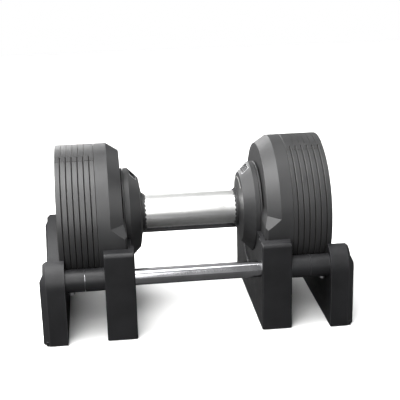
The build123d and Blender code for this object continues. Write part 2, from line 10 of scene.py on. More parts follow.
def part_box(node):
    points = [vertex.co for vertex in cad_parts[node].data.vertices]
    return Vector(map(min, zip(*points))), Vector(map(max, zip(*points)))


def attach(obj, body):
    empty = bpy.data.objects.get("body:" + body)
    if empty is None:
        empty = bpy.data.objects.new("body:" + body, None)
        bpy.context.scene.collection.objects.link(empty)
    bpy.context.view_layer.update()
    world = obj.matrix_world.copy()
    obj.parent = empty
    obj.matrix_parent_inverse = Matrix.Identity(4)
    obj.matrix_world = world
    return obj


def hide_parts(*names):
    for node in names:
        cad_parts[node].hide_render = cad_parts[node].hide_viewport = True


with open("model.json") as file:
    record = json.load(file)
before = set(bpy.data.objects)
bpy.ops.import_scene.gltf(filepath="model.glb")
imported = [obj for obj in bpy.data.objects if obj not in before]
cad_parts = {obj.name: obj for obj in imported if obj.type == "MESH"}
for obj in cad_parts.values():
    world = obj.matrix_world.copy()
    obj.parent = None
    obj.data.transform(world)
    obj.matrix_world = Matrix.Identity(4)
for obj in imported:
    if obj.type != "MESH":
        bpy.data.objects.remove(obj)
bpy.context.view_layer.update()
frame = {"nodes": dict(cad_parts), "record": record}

mm = 0.001
nodes = frame["nodes"]


# camera: a little left of the middle, above the grip, looking slightly down
cameraSettings = {
    "place": (-0.11171, -1.16643, 0.52342),
    "yaw": 0.1094,  # to the right of straight ahead, radians
    "pitch": -0.3171,  # downwards
    "roll": -0.02358,
    "lens": 87.01,
    "sensor": 36.0,
    "shiftX": -0.0046,
    "shiftY": -0.0007,
    "near": 0.05,
    "far": 30.0,
}


def makeCamera(settings):
    yaw, pitch, roll = settings["yaw"], settings["pitch"], settings["roll"]
    ahead = Vector((math.sin(yaw) * math.cos(pitch), math.cos(yaw) * math.cos(pitch), math.sin(pitch)))
    right = Vector((math.cos(yaw), -math.sin(yaw), 0.0))
    up = right.cross(ahead)
    rolledRight = right * math.cos(roll) + up * math.sin(roll)
    rolledUp = up * math.cos(roll) - right * math.sin(roll)
    camera = bpy.data.objects.new("camera", bpy.data.cameras.new("camera"))
    camera.data.lens = settings["lens"]
    camera.data.sensor_width = settings["sensor"]
    camera.data.shift_x = settings["shiftX"]
    camera.data.shift_y = settings["shiftY"]
    camera.data.clip_start = settings["near"]
    camera.data.clip_end = settings["far"]
    axes = Matrix((rolledRight, rolledUp, -ahead)).transposed().to_4x4()
    camera.matrix_world = Matrix.Translation(settings["place"]) @ axes
    bpy.context.scene.collection.objects.link(camera)
    bpy.context.scene.camera = camera


makeCamera(cameraSettings)
print("camera made")


# studio: white surroundings except on the right, where they are dark, and large soft lights
studioSettings = {
    "backdropColor": (1.0, 1.0, 1.0),
    "roomBright": (0.95, 0.95, 0.95),  # what the object sees of the studio left of the turn
    "roomDark": (0.06, 0.061, 0.064),  # and right of it
    "roomTurn": (0.12, 0.19),  # where one becomes the other, as a direction's x
    "floorHalf": 2.0,  # metres from the middle to the floor's edge, past which the backdrop is as white
    "floorColor": (0.92, 0.92, 0.915),
    "floorRoughness": 0.8,
    "floorSpecular": 0.1,
    "floorBounce": (0.08, 0.08, 0.08),  # what the object sees of the floor, as if it stood on a dark tray
    "lights": {
        "leftSoftbox": {
            "place": (-1.15, 0.05, 0.95), "aim": (0.0, 0.0, 0.16), "size": (1.1, 0.9), "watts": 32.0},
        "overheadSoftbox": {
            "place": (-0.36, -0.30, 1.55), "aim": (-0.15, 0.0, 0.12), "size": (0.9, 1.3), "watts": 34.0},
        "frontSoftbox": {
            "place": (-0.46, -1.45, 0.95), "aim": (-0.05, 0.0, 0.14), "size": (1.0, 1.5), "watts": 26.0},
        "backWall": {
            "place": (-0.8, 2.2, 0.9), "aim": (-0.1, 0.0, 0.2), "size": (1.2, 1.2), "watts": 30.0},
        "rearSoftbox": {
            "place": (1.2, 1.3, 0.9), "aim": (0.0, 0.1, 0.12), "size": (0.8, 0.8), "watts": 6.0},
        "rightSoftbox": {
            "place": (1.6, -0.5, 0.8), "aim": (0.1, 0.0, 0.12), "size": (0.7, 0.9), "watts": 14.0},
    },
}


def makeStudio(settings):
    world = bpy.data.worlds.new("studio")
    world.use_nodes = True
    tree = world.node_tree
    room = tree.nodes["Background"]
    direction = tree.nodes.new("ShaderNodeTexCoord")
    parts = tree.nodes.new("ShaderNodeSeparateXYZ")
    turn = tree.nodes.new("ShaderNodeMapRange")  # 0 on the bright side, 1 on the dark one
    turn.interpolation_type = "SMOOTHSTEP"
    turn.inputs["From Min"].default_value, turn.inputs["From Max"].default_value = settings["roomTurn"]
    tone = tree.nodes.new("ShaderNodeMix")
    tone.data_type = "RGBA"
    tone.inputs[6].default_value = (*settings["roomBright"], 1.0)
    tone.inputs[7].default_value = (*settings["roomDark"], 1.0)
    tree.links.new(direction.outputs["Generated"], parts.inputs["Vector"])
    tree.links.new(parts.outputs["X"], turn.inputs["Value"])
    tree.links.new(turn.outputs["Result"], tone.inputs["Factor"])
    tree.links.new(tone.outputs[2], room.inputs["Color"])
    backdrop = tree.nodes.new("ShaderNodeBackground")
    backdrop.inputs["Color"].default_value = (*settings["backdropColor"], 1.0)
    ray = tree.nodes.new("ShaderNodeLightPath")
    mix = tree.nodes.new("ShaderNodeMixShader")
    tree.links.new(ray.outputs["Is Camera Ray"], mix.inputs[0])
    tree.links.new(room.outputs[0], mix.inputs[1])
    tree.links.new(backdrop.outputs[0], mix.inputs[2])
    tree.links.new(mix.outputs[0], tree.nodes["World Output"].inputs["Surface"])
    bpy.context.scene.world = world
    for name, light in settings["lights"].items():
        data = bpy.data.lights.new(name, "AREA")
        data.shape = "RECTANGLE"
        data.size, data.size_y = light["size"]
        data.energy = light["watts"]
        lamp = bpy.data.objects.new(name, data)
        lamp.location = light["place"]
        towards = Vector(light["aim"]) - Vector(light["place"])
        lamp.rotation_euler = towards.to_track_quat("-Z", "Y").to_euler()
        bpy.context.scene.collection.objects.link(lamp)
    paper = bpy.data.materials.new("paperFloor")
    paper.use_nodes = True
    paperTree = paper.node_tree
    paperShader = paperTree.nodes["Principled BSDF"]
    paperShader.inputs["Roughness"].default_value = settings["floorRoughness"]
    paperShader.inputs["Specular IOR Level"].default_value = settings["floorSpecular"]
    paperRay = paperTree.nodes.new("ShaderNodeLightPath")
    paperTone = paperTree.nodes.new("ShaderNodeMix")
    paperTone.data_type = "RGBA"
    paperTree.links.new(paperRay.outputs["Is Camera Ray"], paperTone.inputs["Factor"])
    paperTone.inputs[6].default_value = (*settings["floorBounce"], 1.0)
    paperTone.inputs[7].default_value = (*settings["floorColor"], 1.0)
    paperTree.links.new(paperTone.outputs[2], paperShader.inputs["Base Color"])
    half = settings["floorHalf"]
    corners = [(-half, -half, 0), (half, -half, 0), (half, half, 0), (-half, half, 0)]
    floorMesh = bpy.data.meshes.new("floor")
    floorMesh.from_pydata(corners, [], [(0, 1, 2, 3)])
    floorMesh.materials.append(paper)
    floor = bpy.data.objects.new("floor", floorMesh)
    bpy.context.scene.collection.objects.link(floor)
    bpy.context.scene.view_settings.view_transform = "Standard"
    bpy.context.scene.view_settings.exposure = 0.0


makeStudio(studioSettings)
print("studio made")


# shared effects
def newGroup(name, inputs, outputs):
    # a shader node group; inputs are (name, socket kind, value), outputs (name, socket kind)
    group = bpy.data.node_groups.new(name, "ShaderNodeTree")
    for label, kind, value in inputs:
        socket = group.interface.new_socket(label, in_out="INPUT", socket_type=kind)
        socket.default_value = value
    for label, kind in outputs:
        group.interface.new_socket(label, in_out="OUTPUT", socket_type=kind)
    return group, group.nodes.new("NodeGroupInput"), group.nodes.new("NodeGroupOutput")


def addNode(tree, kind, values=None, **settings):
    made = tree.nodes.new(kind)
    for key, value in settings.items():
        setattr(made, key, value)
    for key, value in (values or {}).items():
        made.inputs[key].default_value = value
    return made


def math2(tree, operation, first, second, clamp=False):
    made = addNode(tree, "ShaderNodeMath", operation=operation, use_clamp=clamp)
    for index, value in enumerate((first, second)):
        if isinstance(value, (int, float)):
            made.inputs[index].default_value = value
        else:
            tree.links.new(value, made.inputs[index])
    return made.outputs[0]


def makeGrainGroup():
    # fine grain of moulded plastic or baked powder: two noises of different size, added
    group, inside, outside = newGroup(
        "grain",
        [("Scale", "NodeSocketFloat", 2500.0), ("Coarse", "NodeSocketFloat", 0.4)],
        [("Height", "NodeSocketFloat"), ("Patches", "NodeSocketFloat")],
    )
    place = addNode(group, "ShaderNodeTexCoord")
    fine = addNode(group, "ShaderNodeTexNoise", {"Detail": 2.0, "Roughness": 0.6})
    coarse = addNode(group, "ShaderNodeTexNoise", {"Detail": 3.0, "Roughness": 0.55})
    patches = addNode(group, "ShaderNodeTexNoise", {"Scale": 26.0, "Detail": 5.0, "Roughness": 0.6})
    for noise in (fine, coarse, patches):
        group.links.new(place.outputs["Object"], noise.inputs["Vector"])
    group.links.new(inside.outputs["Scale"], fine.inputs["Scale"])
    coarseScale = math2(group, "MULTIPLY", inside.outputs["Scale"], 0.31)
    group.links.new(coarseScale, coarse.inputs["Scale"])
    weighted = math2(group, "MULTIPLY", coarse.outputs["Fac"], inside.outputs["Coarse"])
    height = math2(group, "ADD", fine.outputs["Fac"], weighted)
    group.links.new(height, outside.inputs["Height"])
    group.links.new(patches.outputs["Fac"], outside.inputs["Patches"])
    return group


def makeEdgeGroup():
    # rubbed edges and painted edge highlight: where the surface turns within the width, broken up by noise
    group, inside, outside = newGroup(
        "edgeWearAndHighlight",
        [("Width", "NodeSocketFloat", 0.0006), ("Spread", "NodeSocketFloat", 0.5)],
        [("Mask", "NodeSocketFloat")],
    )
    place = addNode(group, "ShaderNodeTexCoord")
    surface = addNode(group, "ShaderNodeNewGeometry")
    rounded = addNode(group, "ShaderNodeBevel", samples=4)
    group.links.new(inside.outputs["Width"], rounded.inputs["Radius"])
    agree = addNode(group, "ShaderNodeVectorMath", operation="DOT_PRODUCT")
    group.links.new(rounded.outputs["Normal"], agree.inputs[0])
    group.links.new(surface.outputs["Normal"], agree.inputs[1])
    turned = math2(group, "SUBTRACT", 1.0, agree.outputs["Value"], clamp=True)
    noise = addNode(group, "ShaderNodeTexNoise", {"Scale": 180.0, "Detail": 4.0, "Roughness": 0.65})
    group.links.new(place.outputs["Object"], noise.inputs["Vector"])
    broken = math2(group, "POWER", noise.outputs["Fac"], inside.outputs["Spread"])
    strong = math2(group, "MULTIPLY", turned, 5.0, clamp=True)
    mask = math2(group, "MULTIPLY", strong, broken, clamp=True)
    group.links.new(mask, outside.inputs["Mask"])
    return group


def makeDustGroup():
    # settled dust: on what faces up, in soft clouds
    group, inside, outside = newGroup(
        "dust",
        [("Amount", "NodeSocketFloat", 0.3)],
        [("Mask", "NodeSocketFloat")],
    )
    place = addNode(group, "ShaderNodeTexCoord")
    parts = addNode(group, "ShaderNodeSeparateXYZ")
    group.links.new(place.outputs["Normal"], parts.inputs["Vector"])
    upward = math2(group, "MAXIMUM", parts.outputs["Z"], 0.0)
    upward = math2(group, "POWER", upward, 2.0)
    clouds = addNode(group, "ShaderNodeTexNoise", {"Scale": 38.0, "Detail": 6.0, "Roughness": 0.7})
    group.links.new(place.outputs["Object"], clouds.inputs["Vector"])
    shaped = addNode(group, "ShaderNodeMapRange", {"From Min": 0.35, "From Max": 0.8})
    group.links.new(clouds.outputs["Fac"], shaped.inputs["Value"])
    mask = math2(group, "MULTIPLY", upward, shaped.outputs["Result"])
    mask = math2(group, "MULTIPLY", mask, inside.outputs["Amount"], clamp=True)
    group.links.new(mask, outside.inputs["Mask"])
    return group


def makeBrushGroup():
    # fine lines left by polishing or turning: noise whose scale has an (x, y, z) share each way
    group, inside, outside = newGroup(
        "brushLines",
        [("Along", "NodeSocketVector", (1.0, 1.0, 1.0)), ("Scale", "NodeSocketFloat", 900.0)],
        [("Height", "NodeSocketFloat"), ("Smears", "NodeSocketFloat")],
    )
    place = addNode(group, "ShaderNodeTexCoord")
    stretched = addNode(group, "ShaderNodeVectorMath", operation="MULTIPLY")
    group.links.new(place.outputs["Object"], stretched.inputs[0])
    group.links.new(inside.outputs["Along"], stretched.inputs[1])
    lines = addNode(group, "ShaderNodeTexNoise", {"Detail": 3.0, "Roughness": 0.7})
    group.links.new(stretched.outputs["Vector"], lines.inputs["Vector"])
    group.links.new(inside.outputs["Scale"], lines.inputs["Scale"])
    smears = addNode(group, "ShaderNodeTexNoise", {"Scale": 34.0, "Detail": 5.0, "Roughness": 0.6})
    group.links.new(place.outputs["Object"], smears.inputs["Vector"])
    group.links.new(lines.outputs["Fac"], outside.inputs["Height"])
    group.links.new(smears.outputs["Fac"], outside.inputs["Smears"])
    return group


grainGroup = makeGrainGroup()
edgeGroup = makeEdgeGroup()
dustGroup = makeDustGroup()
brushGroup = makeBrushGroup()


# materials
noiseRange = (0.3, 0.7)  # where nearly all of a noise's values lie


def placeGroup(tree, group, values):
    made = addNode(tree, "ShaderNodeGroup")
    made.node_tree = group
    for key, value in values.items():
        made.inputs[key].default_value = value
    return made


def mixColor(tree, factor, first, second):
    made = addNode(tree, "ShaderNodeMix", data_type="RGBA")
    tree.links.new(factor, made.inputs["Factor"])
    for label, value in (("A", first), ("B", second)):
        socket = [s for s in made.inputs if s.name == label and s.type == "RGBA"][0]
        if isinstance(value, tuple):
            socket.default_value = (*value, 1.0)
        else:
            tree.links.new(value, socket)
    return [s for s in made.outputs if s.type == "RGBA"][0]


def spread(tree, value, low, high, lowTo, highTo):
    made = addNode(tree, "ShaderNodeMapRange")
    tree.links.new(value, made.inputs["Value"])
    for label, number in (("From Min", low), ("From Max", high), ("To Min", lowTo), ("To Max", highTo)):
        made.inputs[label].default_value = number
    return made.outputs["Result"]


def bump(tree, height, strength, distance):
    made = addNode(tree, "ShaderNodeBump", {"Strength": strength, "Distance": distance})
    tree.links.new(height, made.inputs["Height"])
    return made.outputs["Normal"]


def newMaterial(name):
    material = bpy.data.materials.new(name)
    material.use_nodes = True
    tree = material.node_tree
    return material, tree, tree.nodes["Principled BSDF"]


def coatedMaterial(name, look):
    # a dark coat or plastic: cloudy tone, grain, rubbed edges with a painted edge highlight and a little dust
    material, tree, shader = newMaterial(name)
    grain = placeGroup(tree, grainGroup, {"Scale": look["grainScale"], "Coarse": look["grainCoarse"]})
    edges = placeGroup(tree, edgeGroup, {"Width": look["edgeWidth"], "Spread": look["edgeSpread"]})
    dust = placeGroup(tree, dustGroup, {"Amount": look["dust"]})
    clouds = spread(tree, grain.outputs["Patches"], *noiseRange, 0.0, 1.0)
    tone = mixColor(tree, clouds, look["dark"], look["light"])
    # edge colour: part rubbed wear, part painted highlight where light would catch the edge
    wornAndLit = math2(tree, "MULTIPLY", edges.outputs["Mask"], look["wearAndHighlight"], clamp=True)
    tone = mixColor(tree, wornAndLit, tone, look["wornAndLitColor"])
    tone = mixColor(tree, dust.outputs["Mask"], tone, look["dustColor"])
    tree.links.new(tone, shader.inputs["Base Color"])
    rough = spread(tree, grain.outputs["Patches"], *noiseRange, *look["roughness"])
    tree.links.new(math2(tree, "ADD", rough, dust.outputs["Mask"], clamp=True), shader.inputs["Roughness"])
    relief = bump(tree, grain.outputs["Height"], look["bump"], look["bumpDepth"])
    tree.links.new(relief, shader.inputs["Normal"])
    shader.inputs["Specular IOR Level"].default_value = look["specular"]
    return material


def metalMaterial(name, look):
    # bare metal: tone, fine lines, hazy smears
    material, tree, shader = newMaterial(name)
    lines = placeGroup(tree, brushGroup, {"Along": look["along"], "Scale": look["lineScale"]})
    clouds = spread(tree, lines.outputs["Smears"], *noiseRange, 0.0, 1.0)
    tree.links.new(mixColor(tree, clouds, look["dark"], look["light"]), shader.inputs["Base Color"])
    streaks = spread(tree, lines.outputs["Height"], *noiseRange, -look["streak"], look["streak"])
    rough = spread(tree, lines.outputs["Smears"], *noiseRange, *look["roughness"])
    tree.links.new(math2(tree, "ADD", rough, streaks, clamp=True), shader.inputs["Roughness"])
    relief = bump(tree, lines.outputs["Height"], look["bump"], look["bumpDepth"])
    tree.links.new(relief, shader.inputs["Normal"])
    shader.inputs["Metallic"].default_value = 1.0
    return material


# in each look the edge amount and edge colour paint rubbed wear and an edge highlight together
coatedLooks = {
    "plateCoat": {
        "dark": (0.009, 0.009, 0.0095), "light": (0.014, 0.014, 0.0145), "roughness": (0.40, 0.50),
        "grainScale": 2600.0, "grainCoarse": 0.5, "bump": 0.35, "bumpDepth": 0.00012,
        "edgeWidth": 0.0007, "edgeSpread": 0.5, "wearAndHighlight": 0.3, "wornAndLitColor": (0.15, 0.14, 0.12),
        "dust": 0.05, "dustColor": (0.30, 0.30, 0.30), "specular": 0.55,
    },
    "coverPlastic": {
        "dark": (0.010, 0.010, 0.0105), "light": (0.016, 0.016, 0.0165), "roughness": (0.44, 0.54),
        "grainScale": 3000.0, "grainCoarse": 0.7, "bump": 0.4, "bumpDepth": 0.00012,
        "edgeWidth": 0.0009, "edgeSpread": 0.6, "wearAndHighlight": 0.3, "wornAndLitColor": (0.14, 0.14, 0.14),
        "dust": 0.05, "dustColor": (0.30, 0.30, 0.30), "specular": 0.5,
    },
    "hubPlastic": {
        "dark": (0.008, 0.008, 0.0085), "light": (0.013, 0.013, 0.0135), "roughness": (0.46, 0.56),
        "grainScale": 3400.0, "grainCoarse": 0.6, "bump": 0.3, "bumpDepth": 0.0001,
        "edgeWidth": 0.0006, "edgeSpread": 0.6, "wearAndHighlight": 0.3, "wornAndLitColor": (0.14, 0.14, 0.14),
        "dust": 0.04, "dustColor": (0.30, 0.30, 0.30), "specular": 0.45,
    },
    "standPlastic": {
        "dark": (0.007, 0.007, 0.0075), "light": (0.011, 0.011, 0.012), "roughness": (0.36, 0.46),
        "grainScale": 2200.0, "grainCoarse": 0.8, "bump": 0.4, "bumpDepth": 0.00015,
        "edgeWidth": 0.0012, "edgeSpread": 0.6, "wearAndHighlight": 0.35, "wornAndLitColor": (0.12, 0.12, 0.13),
        "dust": 0.08, "dustColor": (0.28, 0.28, 0.29), "specular": 0.24,
    },
    "padRubber": {
        "dark": (0.012, 0.012, 0.012), "light": (0.020, 0.020, 0.020), "roughness": (0.75, 0.9),
        "grainScale": 1500.0, "grainCoarse": 1.0, "bump": 0.6, "bumpDepth": 0.0002,
        "edgeWidth": 0.0008, "edgeSpread": 0.6, "wearAndHighlight": 0.4, "wornAndLitColor": (0.08, 0.08, 0.08),
        "dust": 0.1, "dustColor": (0.25, 0.25, 0.25), "specular": 0.3,
    },
    "ringBlack": {
        "dark": (0.012, 0.012, 0.013), "light": (0.018, 0.018, 0.019), "roughness": (0.35, 0.45),
        "grainScale": 3000.0, "grainCoarse": 0.5, "bump": 0.3, "bumpDepth": 0.0001,
        "edgeWidth": 0.0004, "edgeSpread": 0.6, "wearAndHighlight": 0.5, "wornAndLitColor": (0.2, 0.2, 0.2),
        "dust": 0.03, "dustColor": (0.3, 0.3, 0.3), "specular": 0.5,
    },
    "numberDial": {
        "dark": (0.020, 0.020, 0.021), "light": (0.032, 0.032, 0.033), "roughness": (0.45, 0.6),
        "grainScale": 3000.0, "grainCoarse": 0.5, "bump": 0.2, "bumpDepth": 0.00008,
        "edgeWidth": 0.0005, "edgeSpread": 0.6, "wearAndHighlight": 0.2, "wornAndLitColor": (0.3, 0.3, 0.3),
        "dust": 0.1, "dustColor": (0.4, 0.4, 0.4), "specular": 0.4,
    },
    "printWhite": {
        "dark": (0.40, 0.40, 0.385), "light": (0.50, 0.50, 0.485), "roughness": (0.5, 0.62),
        "grainScale": 2600.0, "grainCoarse": 0.5, "bump": 0.2, "bumpDepth": 0.00005,
        "edgeWidth": 0.0002, "edgeSpread": 0.6, "wearAndHighlight": 0.1, "wornAndLitColor": (0.3, 0.3, 0.3),
        "dust": 0.02, "dustColor": (0.4, 0.4, 0.4), "specular": 0.4,
    },
    "dialPrint": {
        "dark": (0.16, 0.16, 0.155), "light": (0.22, 0.22, 0.215), "roughness": (0.5, 0.62),
        "grainScale": 2600.0, "grainCoarse": 0.5, "bump": 0.2, "bumpDepth": 0.00005,
        "edgeWidth": 0.0002, "edgeSpread": 0.6, "wearAndHighlight": 0.1, "wornAndLitColor": (0.1, 0.1, 0.1),
        "dust": 0.02, "dustColor": (0.4, 0.4, 0.4), "specular": 0.3,
    },
    # pale grey of the outline round the window: a painted highlight, not a part's own colour
    "highlightGrey": {
        "dark": (0.40, 0.40, 0.41), "light": (0.52, 0.52, 0.53), "roughness": (0.3, 0.42),
        "grainScale": 2600.0, "grainCoarse": 0.5, "bump": 0.2, "bumpDepth": 0.00005,
        "edgeWidth": 0.0002, "edgeSpread": 0.6, "wearAndHighlight": 0.1, "wornAndLitColor": (0.1, 0.1, 0.1),
        "dust": 0.02, "dustColor": (0.4, 0.4, 0.4), "specular": 0.4,
    },
}
metalLooks = {
    "gripChrome": {
        "dark": (0.68, 0.68, 0.67), "light": (0.82, 0.82, 0.81), "roughness": (0.29, 0.33), "streak": 0.03,
        "along": (1.0, 0.05, 0.05), "lineScale": 1400.0, "bump": 0.05, "bumpDepth": 0.00005,
    },
    # tube tone kept dark as a painted dark reflection, standing in for the dark tray mirrored in the tube
    "tubeSteel": {
        "dark": (0.24, 0.24, 0.25), "light": (0.34, 0.34, 0.35), "roughness": (0.09, 0.16), "streak": 0.04,
        "along": (1.0, 0.04, 0.04), "lineScale": 1600.0, "bump": 0.08, "bumpDepth": 0.00005,
    },
    "innerSteel": {
        "dark": (0.36, 0.36, 0.37), "light": (0.50, 0.50, 0.51), "roughness": (0.22, 0.34), "streak": 0.08,
        "along": (1.0, 0.06, 0.06), "lineScale": 1800.0, "bump": 0.2, "bumpDepth": 0.00008,
    },
    "springSteel": {
        "dark": (0.40, 0.40, 0.41), "light": (0.56, 0.56, 0.57), "roughness": (0.2, 0.3), "streak": 0.06,
        "along": (0.1, 0.1, 1.0), "lineScale": 2200.0, "bump": 0.15, "bumpDepth": 0.00005,
    },
    "screwZinc": {
        "dark": (0.30, 0.30, 0.31), "light": (0.44, 0.44, 0.45), "roughness": (0.28, 0.42), "streak": 0.06,
        "along": (1.0, 1.0, 1.0), "lineScale": 1500.0, "bump": 0.2, "bumpDepth": 0.00008,
    },
    "bushBronze": {
        "dark": (0.42, 0.27, 0.12), "light": (0.58, 0.40, 0.19), "roughness": (0.3, 0.45), "streak": 0.06,
        "along": (1.0, 0.2, 0.2), "lineScale": 1600.0, "bump": 0.2, "bumpDepth": 0.00008,
    },
}


lensLook = {
    "color": (0.012, 0.012, 0.014), "roughness": (0.30, 0.40), "alpha": (0.34, 0.44),
    "grainScale": 900.0, "grainCoarse": 0.6, "ior": 1.49, "specular": 0.12,
}


def lensMaterial(look):
    # dark tinted clear plastic, a little uneven
    material, tree, shader = newMaterial("lensClear")
    grain = placeGroup(tree, grainGroup, {"Scale": look["grainScale"], "Coarse": look["grainCoarse"]})
    shader.inputs["Base Color"].default_value = (*look["color"], 1.0)
    rough = spread(tree, grain.outputs["Patches"], *noiseRange, *look["roughness"])
    tree.links.new(rough, shader.inputs["Roughness"])
    alpha = spread(tree, grain.outputs["Patches"], *noiseRange, *look["alpha"])
    tree.links.new(alpha, shader.inputs["Alpha"])
    shader.inputs["IOR"].default_value = look["ior"]
    shader.inputs["Specular IOR Level"].default_value = look["specular"]
    return material


materials = {name: coatedMaterial(name, look) for name, look in coatedLooks.items()}
materials.update({name: metalMaterial(name, look) for name, look in metalLooks.items()})
materials["lensClear"] = lensMaterial(lensLook)

slotMaterials = {
    "stand_plastic": "standPlastic", "tube_steel": "tubeSteel", "screw_steel": "screwZinc",
    "pad_rubber": "padRubber", "plate_coat": "plateCoat", "cover_plastic": "coverPlastic",
    "disc_coat": "plateCoat", "hub_plastic": "hubPlastic", "flange_coat": "hubPlastic",
    "lens": "lensClear", "grip_chrome": "gripChrome", "inner_steel": "innerSteel",
    "bronze": "bushBronze", "ring_black": "ringBlack", "number_dial": "numberDial",
    "spring_steel": "springSteel",
}
for row in frame["record"]["subparts"]:
    mesh = nodes[row["node"]].data
    mesh.materials.clear()
    mesh.materials.append(materials[slotMaterials[row["material_slot"]]])
print("materials placed")


# extra pieces
def cellQuads(index):
    # the four corners of each cell of a grid of vertex numbers
    corners = [index[:-1, :-1], index[:-1, 1:], index[1:, 1:], index[1:, :-1]]
    return np.stack(corners, axis=-1).reshape(-1, 4)


def gridMesh(name, points, closeAcross, capEnds):
    # points is an array (along, across, 3); each grid cell becomes a four-sided face
    along, across = points.shape[:2]
    index = np.arange(along * across).reshape(along, across)
    if closeAcross:
        index = np.concatenate([index, index[:, :1]], axis=1)
    faces = cellQuads(index).tolist()
    if capEnds:
        faces += [index[0, :across][::-1].tolist(), index[-1, :across].tolist()]
    mesh = bpy.data.meshes.new(name)
    mesh.from_pydata(points.reshape(-1, 3).tolist(), [], faces)
    return mesh


weldDistance = 1e-7  # metres


def addPiece(name, mesh, material, body):
    work = bmesh.new()
    work.from_mesh(mesh)
    bmesh.ops.remove_doubles(work, verts=work.verts, dist=weldDistance)
    bmesh.ops.recalc_face_normals(work, faces=work.faces)
    work.to_mesh(mesh)
    work.free()
    mesh.materials.clear()
    mesh.materials.append(materials[material])
    piece = bpy.data.objects.new(name, mesh)
    bpy.context.scene.collection.objects.link(piece)
    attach(piece, body)
    return piece


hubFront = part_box("hub_cover_right")[0][0]
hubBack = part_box("hub_cover_right")[1][0]
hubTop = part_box("hub_cover_right")[1][2]
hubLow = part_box("hub_cover_right")[0][2]
axisHeight = (hubTop + hubLow) / 2
hubRadius = (hubTop - hubLow) / 2

# curved arrow printed on the hub's shallow front cone, under the window
arrowSettings = {
    "radius": 38.0 * mm,
    "from": -36.0,  # degrees from the top
    "to": 36.0,
    "lineHalf": 0.34 * mm,
    "dotRadius": 1.0 * mm,
    "tipHalf": 0.02 * mm,
    "headLength": 3.6 * mm,
    "headHalf": 1.5 * mm,
    "coneStart": (2.4 * mm, 27.0 * mm),  # x behind the hub's front, radius
    "coneEnd": (5.4 * mm, 44.0 * mm),
    "skin": 0.1 * mm,
    "steps": 120,
}


def makeTurnArrow(side, settings):
    # an arc along s on the cone: half width is the line's, a round dot's at the start, a wedge's at the end
    start, end = math.radians(settings["from"]), math.radians(settings["to"])
    s = np.linspace(0.0, (end - start) * settings["radius"], settings["steps"])
    length = s[-1]
    dot = np.sqrt(np.maximum(settings["dotRadius"] ** 2 - (s - settings["dotRadius"]) ** 2, 0.0))
    wedge = np.clip((length - s) / settings["headLength"], 0.0, 1.0) * settings["headHalf"]
    inHead = s > length - settings["headLength"]
    half = np.where(inHead, wedge, np.maximum(dot, settings["lineHalf"]))
    half[-1] = settings["tipHalf"]
    across = np.array([-1.0, 1.0, 1.0, -1.0])
    lift = np.array([1.0, 1.0, -1.0, -1.0]) * settings["skin"]
    radius = settings["radius"] + half[:, None] * across[None, :]
    (x0, r0), (x1, r1) = settings["coneStart"], settings["coneEnd"]
    cone = hubFront + x0 + (radius - r0) * (x1 - x0) / (r1 - r0)
    angle = (start + s / settings["radius"])[:, None] * np.ones(4)
    points = np.stack(
        [side * (cone - lift[None, :]), radius * np.sin(angle), axisHeight + radius * np.cos(angle)], axis=-1)
    sideName = "right" if side > 0 else "left"
    mesh = gridMesh("turnArrow_" + sideName, points, True, True)
    addPiece("turnArrow_" + sideName, mesh, "printWhite", "handle")


# pale outline round the window's recess, on the hub's 45 degree cone: a painted highlight where the recess
# edge catches light
windowHighlightSettings = {
    "length": 22.0 * mm,
    "height": 11.4 * mm,
    "corner": 1.5 * mm,
    "half": 0.25 * mm,
    "skin": 0.14 * mm,
    "middle": (11.9 * mm, 50.5 * mm),  # x behind the hub's front, radius
    "steps": 96,
}


def makeWindowHighlight(side, settings):
    # a rounded rectangle: a box's outline with rounded corners, (u, v) on the cone's plane for each angle
    t = np.linspace(0.0, 2 * np.pi, settings["steps"], endpoint=False)
    flatU = settings["length"] / 2 - settings["corner"]
    flatV = settings["height"] / 2 - settings["corner"]
    u = np.sign(np.cos(t)) * flatU + settings["corner"] * np.cos(t)
    v = np.sign(np.sin(t)) * flatV + settings["corner"] * np.sin(t)
    profile = np.array([(-1.0, 1.0), (1.0, 1.0), (1.0, -1.0), (-1.0, -1.0)])
    offset = profile[:, 0] * settings["half"]
    lift = profile[:, 1] * settings["skin"]
    uu = u[:, None] + np.cos(t)[:, None] * offset[None, :]
    vv = v[:, None] + np.sin(t)[:, None] * offset[None, :]
    # the outline drops by u squared / (2 root 2 r) from the flat plane to the cone's curve
    across = math.sqrt(0.5)
    rise = lift[None, :] - uu ** 2 / (2 * math.sqrt(2) * (settings["middle"][1] + vv * across))
    x = hubFront + settings["middle"][0] + (vv - rise) * across
    radial = settings["middle"][1] + (vv + rise) * across
    points = np.stack([side * x, uu, axisHeight + radial], axis=-1)
    points = np.concatenate([points, points[:1]], axis=0)
    sideName = "right" if side > 0 else "left"
    mesh = gridMesh("windowHighlight_" + sideName, points, True, False)
    addPiece("windowHighlight_" + sideName, mesh, "highlightGrey", "handle")


# weights in kilograms on the ring that turns behind the window
dialSettings = {
    "captions": ("2", "9", "12", "14", "17", "19", "22", "24"),
    "turns": (0.0, 146.4, 174.7, 203.1, 231.5, 259.9, 288.2, 315.0),  # the grip's angle for each
    "size": 5.2 * mm,
    "slope": (5.4 * mm, 47.6 * mm),  # the middle of the row: x behind the ring's start, radius
    "lift": 0.05 * mm,
    "thick": 0.06 * mm,
}


